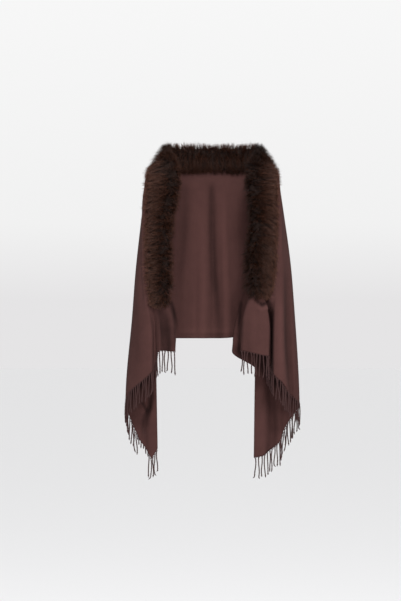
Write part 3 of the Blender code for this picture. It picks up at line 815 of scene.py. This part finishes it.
# %% The underfur bodies
def tube_faces(rings, sides):
    """Faces of a closed tube whose points are given ring by ring."""
    faces = []
    for low in range(0, (rings - 1) * sides, sides):
        for i in range(sides):
            j = (i + 1) % sides
            faces.append((low + i, low + j, low + sides + j, low + sides + i))
    last = (rings - 1) * sides
    return faces + [tuple(reversed(range(sides))), tuple(range(last, last + sides))]


underfur = material("dense_underfur", 0.9, 0.1, "#150c09")[0]


def underfur_body(name, runs):
    """Loft a closed body through sections; runs are (side, stations) one after another."""
    angles = np.arange(FUR_SIDES) * 2 * math.pi / FUR_SIDES
    points = []
    for side, stations in runs:
        for station in stations:
            points.append(fur_point(side, np.full(FUR_SIDES, station), angles, UNDER)[0])
    faces = tube_faces(len(points), FUR_SIDES)
    body = new_piece(name, np.concatenate(points), faces, underfur)
    edit(body, bpy.ops.mesh.normals_make_consistent, inside=False)
    bpy.ops.object.shade_smooth()
    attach(body, "root")
    return body


steps = np.arange(0, BACK_SPLIT + 0.01, RING_STEP)
back_body = underfur_body("underfur_back", [("left", steps[::-1]), ("right", steps[1:])])
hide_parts("fur_back")
steps = np.arange(BACK_SPLIT, LAST_STATION + 0.01, RING_STEP)
for side in SIDES:
    body = underfur_body("underfur_" + side, [(side, steps)])
    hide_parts("fur_" + side)
    print(body.name, len(body.data.polygons), "faces")

# %% [markdown]
# ## The guard hair
# Guard hairs grow in locks that share a direction and lean together at the tips, and here they
# are combed from a parting to the strip's edges. Blender's own hair curves would be easy, but
# they aren't kept as a mesh. So each hair is a small mesh: a bent three-sided taper. The tip is
# lighter than the root and each lock has a tint of its own; painted light lightens the outer
# edge, and painted shade darkens the back and the neck.

# %% Hair colour
guard_hair, hair_tree, hair_shader = material("guard_hair", 0.45, 0.15)
tip = node(hair_tree, "Attribute", {"attribute_name": "tip"})
lock_tone_and_light = node(hair_tree, "Attribute", {"attribute_name": "lock_tone_and_light"})
ramp = node(hair_tree, "ValToRGB", links={"Fac": tip.outputs["Fac"]})
ramp.color_ramp.elements[0].color = linear("#0e0705")
ramp.color_ramp.elements[1].color = linear("#472b20")
# Darker hairs, from their lock's tint and from painted shade, are made more saturated.
richer = node(hair_tree, "MapRange",
              {"From Min": 0.3, "From Max": 1.3, "To Min": 1.22, "To Max": 0.92},
              {"Value": lock_tone_and_light.outputs["Fac"]})
shade = node(hair_tree, "HueSaturation",
             links={"Color": ramp.outputs["Color"], "Value": lock_tone_and_light.outputs["Fac"],
                    "Saturation": richer.outputs["Result"]})
hair_tree.links.new(shade.outputs["Color"], hair_shader.inputs["Base Color"])
print("nodes of the hair:", len(hair_tree.nodes))

# %% One mesh of hairs
random = np.random.default_rng(7)
STAGES = np.array((0, 0.35, 0.7, 1.0))  # where a hair has its sections, the last being the tip
TAPER = np.array((0.55, 0.5, 0.34))  # of its width, at the first three
HAIR_POINTS = 10


def hairs(name, roots, start, end, length, width, tints, node_name):
    """One mesh of three-sided tapered hairs that curve from one direction into another."""
    count = len(roots)
    side_way = unit(np.cross(start, random.normal(size=(count, 3))))
    other_way = np.cross(unit(start), side_way)
    points = np.empty((count, HAIR_POINTS, 3))
    for k, t in enumerate(STAGES):
        centre = roots + length * (start * (t - t * t / 2) + end * t * t / 2)
        if k == 3:
            points[:, 9] = centre
            break
        for m in range(3):
            turn = 2 * math.pi * m / 3
            points[:, 3 * k + m] = centre + width * TAPER[k] * (
                side_way * math.cos(turn) + other_way * math.sin(turn))
    pattern = []
    for k in range(2):
        for m in range(3):
            n = (m + 1) % 3
            low, high = 3 * k, 3 * k + 3
            pattern.append((low + m, low + n, high + n))
            pattern.append((low + m, high + n, high + m))
    pattern += [(6 + m, 6 + (m + 1) % 3, 9) for m in range(3)] + [(2, 1, 0)]
    faces = (np.arange(count)[:, None, None] * HAIR_POINTS + np.array(pattern)).reshape(-1, 3)
    piece = new_piece(name, points.reshape(-1, 3), faces.tolist(), guard_hair)
    piece.data.shade_smooth()
    keep(piece.data, "tip", np.tile(np.repeat(STAGES, (3, 3, 3, 1)), count))
    keep(piece.data, "lock_tone_and_light", np.repeat(tints, HAIR_POINTS))
    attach(piece, "root")
    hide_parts(node_name)
    print(name, len(faces), "triangles")


print("triangles of one hair:", 2 * HAIR_POINTS - 4)


# %% Where the locks grow
def run_along(points):
    """The length run from the first point to each."""
    return running(np.linalg.norm(np.diff(points, axis=0), axis=1))


PER_LOCK = 8
HALF_WIDE, HALF_THICK = 52, 26  # of a usual section of the strip
STRAY_ALONG, STRAY_ROUND = 0.03, 0.13  # how far hairs stand from their lock's middle


def scatter(side, first, last, locks):
    """Stations and angles of hairs, lock by lock, spread evenly over the strip's surface."""
    fine = np.linspace(first, last, 400)
    run = run_along(fur_frame(side, fine)[0])
    stations = np.interp(random.random(locks) * run[-1], run, fine)
    turns = np.linspace(0, 2 * math.pi, 721)
    a, b = ring_shape(turns)
    around = running(np.hypot(np.diff(a[:, 0]) * HALF_WIDE, np.diff(b[:, 0]) * HALF_THICK))
    angles = np.interp(random.random(locks) * around[-1], around, turns)
    count = locks * PER_LOCK
    stations = np.repeat(stations, PER_LOCK) + random.normal(size=count) * STRAY_ALONG
    angles = np.repeat(angles, PER_LOCK) + random.normal(size=count) * STRAY_ROUND
    return np.clip(stations, first, last), angles


print("hairs in a lock:", PER_LOCK)

# %% Which way the hairs lie
PARTING = -0.6  # across the strip, from -1 at the neck's side to 1 at the cloth's


def strip_end(stations):
    """0 along the front, rising to 1 at the strip's lower end."""
    return np.clip((stations - 14.5) / 2.0, 0, 1)[:, None]


def lie(side, stations, surface, locks):
    """Directions in which the hairs start and end."""
    _, faces, across, along, a = surface
    lock_wander = np.repeat(random.normal(size=(locks, 3)), PER_LOCK, axis=0)
    wander = random.normal(size=(locks * PER_LOCK, 3))
    parting = PARTING + np.repeat(random.normal(size=locks), PER_LOCK)[:, None] * 0.2
    way = np.clip((a - parting) * 2.5, -1, 1)
    lift = 0.30 + 0.55 * (1 - np.abs(way))
    tangent = unit(across - faces * (across * faces).sum(1, keepdims=True))
    end_share = strip_end(stations)
    trailing = np.full_like(a, 0.12)
    if side == "right":
        # The lower right fur is combed down as well as outwards.
        slanting = 0.25 + 0.6 * np.clip(a + 0.3, 0, 1)
        trailing += np.clip((stations[:, None] - 9) / 4, 0, 1) * slanting
    trailing = trailing + 1.2 * end_share
    start = unit(faces * lift + tangent * way * (0.85 - 0.5 * end_share) + along * trailing
                 + lock_wander * 0.09 + wander * 0.05)
    falling = np.array((0, 0, -0.12))
    end = unit(start - faces * 0.22 + lock_wander * 0.08 + wander * 0.07 + falling)
    return start, end


print("parting at", PARTING)

# %% How long the hairs are
LENGTH, LENGTH_VARIES = 29, 3.6
HIGHEST, HIGHER_ABOVE = 25.0, 15.0  # above the surface, and so much more on top of the back
FLARE_HEIGHT = 26
NEAREST = -153.0  # no hair comes nearer to the camera


def lengths_of(side, stations, surface, start, end, locks):
    """Longest in the middle of the strip, shorter at the neck and the strip's lower end."""
    roots, faces, _, _, a = surface
    length = np.repeat(random.normal(LENGTH, LENGTH_VARIES, size=locks), PER_LOCK)
    length = length * random.uniform(0.75, 1.1, size=locks * PER_LOCK)
    length *= (0.9 + 0.1 * np.clip(stations - 2, 0, 1)) * (1 - 0.4 * strip_end(stations)[:, 0])
    length *= 1.4 - 0.4 * a[:, 0] ** 2
    rise = ((start + end) / 2 * faces).sum(axis=1)
    highest = HIGHEST + HIGHER_ABOVE * np.clip(2 * faces[:, 2] - 1, 0, 1) * (stations < BACK_SPLIT)
    if side == "right":
        # Low on the right front a tuft stands out towards the middle.
        flare = np.clip(-a[:, 0] - 0.2, 0, 0.8) * np.exp(-(((stations - 14) / 1.6) ** 2))
        highest += FLARE_HEIGHT * flare * (1 - np.abs(faces[:, 1])) ** 2
        length *= 1 + 0.9 * flare
    length = np.minimum(length, highest / np.maximum(rise, 0.1))
    forward = -(start + end)[:, 1] / 2
    return np.minimum(length, (roots[:, 1] - NEAREST) / np.maximum(forward, 0.05))


print("hair length:", LENGTH, "mm")


# %% How light the hairs are, and all the hair
def tints_of(side, stations, a, locks):
    """Each lock's own tint, with painted light at the outer edge and painted shade on the back and neck."""
    tints = np.repeat(random.uniform(0.6, 1.35, size=locks), PER_LOCK)
    tints = tints * random.uniform(0.8, 1.2, size=locks * PER_LOCK)
    # Painted light: lighter towards the outer side of the fronts and the upper edge of the back.
    bright_side = np.where(stations < BACK_SPLIT, -0.5 * a, a)
    if side == "left":
        tints *= 1.05 + 0.6 * np.clip(bright_side + 0.1, -0.9, 0.9)
    else:
        tints *= 0.98 + 0.85 * np.clip(bright_side - 0.05, -0.85, 0.8)
    # Painted shade on the back's fur, inside the collar.
    tints *= 0.6 + 0.4 * np.clip((stations - 4) / 3, 0, 1)
    # Painted shade on the neck side of the shoulders.
    neck_side = np.clip(-a - 0.2, 0, 1) * np.exp(-(((stations - 5) / 1.6) ** 2))
    return tints * (1 - 0.6 * neck_side)


def comb(name, side, first, last, locks, width, node_name):
    """The hair of one length of the strip."""
    stations, angles = scatter(side, first, last, locks)
    surface = fur_point(side, stations, angles, UNDER + 1)
    start, end = lie(side, stations, surface, locks)
    length = lengths_of(side, stations, surface, start, end, locks)
    tints = tints_of(side, stations, surface[4][:, 0], locks)
    hairs(name, surface[0], start, end, length[:, None], width, tints, node_name)


SHOULDER_END = 10  # a station
for side in SIDES:
    comb("guard_hair_back_" + side, side, 0, BACK_SPLIT, 720, 0.75, "fur_back")
for side in SIDES:
    name, node_name = "guard_hair_" + side, "fur_" + side
    comb(name + "_shoulder", side, BACK_SPLIT, SHOULDER_END, 1000, 0.9, node_name)
    comb(name + "_front", side, SHOULDER_END, LAST_STATION, 1210, 0.9, node_name)

# %% [markdown]
# ## The fringe
# The warp threads run out past the last row of weave and are twisted, two plies round each
# other, and knotted at the tip. A plain rod would look like wire, so one strand is built as two
# round yarns that wind along a hanging line. Where it leaves the cloth they spread apart.

# %% Where strands spring
STRAND_LENGTH = 80
STRAND_PITCH = 10.6
STRAND_SPREAD = 6.0  # least sideways distance where an edge hangs steeply
PATH_STEP = 0.5
LAST_STRAND = 4.0  # the last strand stands this far from the corner


def strand_places(path):
    """Numbers of the fine path's points where strands spring."""
    places = []
    run, sideways = STRAND_PITCH / 2, STRAND_SPREAD / 2
    steps = np.diff(path, axis=0)
    for i, step in enumerate(steps, 1):
        run += np.linalg.norm(step)
        sideways += math.hypot(step[0], step[1])
        if run >= STRAND_PITCH and sideways >= STRAND_SPREAD:
            places.append(i)
            run = sideways = 0.0
    if run < STRAND_PITCH / 2 or sideways < STRAND_SPREAD / 2:
        places.pop()
    places = np.array(places)
    return np.round(places * (len(path) - 1 - LAST_STRAND / PATH_STEP) / places[-1]).astype(int)


def fine_path(points):
    """The same path in even steps."""
    run = run_along(points)
    at = np.arange(0, run[-1], PATH_STEP)
    return np.column_stack([np.interp(at, run, points[:, k]) for k in range(3)])


print("strands on half a metre:", len(strand_places(fine_path(np.array(((0, 0, 0), (500.0, 0, 0)))))))

# %% One twisted yarn
PLY_SIDES = 5


def ply(line, radius, turn, apart, normal, level):
    """One yarn wound round a line; gives its points and faces."""
    points = []
    for k, centre in enumerate(line):
        angle = turn[k]
        middle = centre + (level * math.cos(angle) + normal * math.sin(angle)) * apart[k]
        for m in range(PLY_SIDES):
            way = 2 * math.pi * m / PLY_SIDES
            points.append(middle + (level * math.cos(way) + normal * math.sin(way)) * radius[k])
    return points, [face[::-1] for face in tube_faces(len(line), PLY_SIDES)]


print("sides of a yarn:", PLY_SIDES)

# %% How a strand hangs
# Its number on the edge sets the bends, so they differ and yet come out the same each time.
SHARES = np.linspace(0, 1, 26)
BOW, WAVE, SWING, BOW_OUT = 3.0, 1.8, 3.4, 2.2
CURL_FROM, CURL_ASIDE, CURL_UP = 0.8, 7, 5


def bends(number, level, normal):
    """How far a strand strays from the plumb line."""
    aside = (BOW * math.sin(1.7 * number) * np.sin(math.pi * SHARES)
             + WAVE * math.sin(2.6 * number + 2) * np.sin(2 * math.pi * SHARES)
             + SWING * math.sin(1.1 * number + 4) * SHARES ** 2)
    out = BOW_OUT * math.sin(2.9 * number + 1) * np.sin(math.pi * SHARES)
    return np.outer(aside, level) + np.outer(out, normal)


def hold_together(line, drop, length, half_gap):
    """Bend a strand's last stretch to the middle of the gap beside it."""
    reach = np.linalg.norm(half_gap)
    turn_in = np.clip((drop - length + 2 * reach) / (2 * reach), 0, 1)
    line[:, :2] += np.outer(1 - np.cos(turn_in * math.pi / 2), half_gap)
    return drop - (drop - length + 2 * reach).clip(0) * turn_in * 0.5


print("sections of a strand:", len(SHARES))

# %% A row of strands
# Pairs that hold together at their tips, by the first one's number on the edge, and single
# strands whose tips curl.
JOINED = {"yarn_left_end": (6,), "yarn_right_end": (7,), "yarn_left_corner": (0,)}
CURLED = {"yarn_right_tail": (0, 1, 7), "yarn_left_corner": (3,), "yarn_right_side": (2, 9)}
TWIST = 10  # millimetres for one turn of the yarns
# Shares of the length, how far the yarns lie from the middle, and their radius with the knot.
APART = ((0, 0.04, 0.12, 0.93, 0.96, 1), (3.0, 1.7, 1.25, 1.15, 1.0, 1.4))
RADIUS = ((0, 0.1, 0.88, 0.91, 0.94, 0.96, 1), (1.7, 1.6, 1.55, 2.3, 2.3, 1.1, 0.6))
yarn = material("twisted_wool_yarn", 0.9, 0.2, "#321f1e")[0]


def fringe(name, points, node_name, calm=1.0):
    """The strands of one edge; calm below 1 makes their bends smaller."""
    path = fine_path(points)
    places = strand_places(path)
    vertices, faces = [], []
    for number, i in enumerate(places):
        along = unit(path[min(i + 4, len(path) - 1)] - path[max(i - 4, 0)])
        level = unit(along * (1, 1, 0))
        normal = np.array((-level[1], level[0], 0))
        length = STRAND_LENGTH * (1 + 0.06 * math.sin(2.3 * number))
        line = path[i] + calm * bends(number, level, normal)
        drop = SHARES * (length + 1)
        for first in JOINED.get(name, ()):
            if number in (first, first + 1):
                partner = places[2 * first + 1 - number]
                drop = hold_together(line, drop, length, (path[partner] - path[i])[:2] / 2)
        if number in CURLED.get(name, ()):
            curl = np.clip((SHARES - CURL_FROM) / (1 - CURL_FROM), 0, 1) ** 2
            line += np.outer(curl * CURL_ASIDE, level * (1 if number % 2 else -1))
            drop = drop - curl * CURL_UP
        line[:, 2] += 1.0 - drop  # it starts 1 mm up in the cloth
        for start in (0, math.pi):
            turn = start + 2 * math.pi * SHARES * length / TWIST
            turn = np.where(SHARES < 0.05, start, turn)
            apart, radius = np.interp(SHARES, *APART), np.interp(SHARES, *RADIUS)
            new_points, new_faces = ply(line, radius, turn, apart, normal, level)
            base = len(vertices)
            vertices += new_points
            faces += [tuple(base + v for v in face) for face in new_faces]
    piece = new_piece(name, vertices, faces, yarn)
    piece.data.shade_smooth()
    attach(piece, "root")
    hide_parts(node_name)
    print(name, len(places), "strands,", len(piece.data.polygons), "faces")


print("turns in a strand:", STRAND_LENGTH / TWIST)

# %% The edges that carry the fringe
CORNER_END = 10.4
TURNED = (10.45, 12.4, 9)  # the turned edge: first and last place and the number of places
TURNED_UNDER, BEHIND = 62, 3.4


def edge(side, first, last):
    """The lower edge of the cloth."""
    folds = columns(first, last)
    return wing(side, folds, np.ones(len(folds)))


def turned_edge():
    """The left tail's fringed edge is turned under, so its strands hang behind the cloth."""
    folds = np.linspace(*TURNED)
    bottoms = between(folds, [row.bottom for row in FOLDS["left"]])
    tops = wing("left", folds, np.zeros(len(folds)))[:, 2]
    shares = 1 - TURNED_UNDER / (tops - bottoms)
    step = wing("left", folds + NEARBY, shares) - wing("left", folds - NEARBY, shares)
    behind = unit(np.column_stack([-step[:, 1], step[:, 0], step[:, 2] * 0]))
    behind *= np.where(behind[:, 1:2] < 0, -BEHIND, BEHIND)
    return wing("left", folds, shares) + behind


print("points of the turned edge:", len(turned_edge()))

# %% All the fringe
for side in SIDES:
    folds = columns(0, END_LINES)
    low_edge = front_end(side, folds, np.ones(len(folds)), end_levels(side)[0])
    fringe(f"yarn_{side}_end", low_edge, f"fringe_{side}_end")
    fringe(f"yarn_{side}_side", edge(side, TAIL_END, TRIM), f"fringe_{side}_side")
fringe("yarn_right_tail", edge("right", HEM, TAIL_END), "fringe_right_tail")
fringe("yarn_left_corner", edge("left", HEM, CORNER_END), "fringe_left_corner")
fringe("yarn_left_tail", turned_edge(), "fringe_left_tail", 0.3)
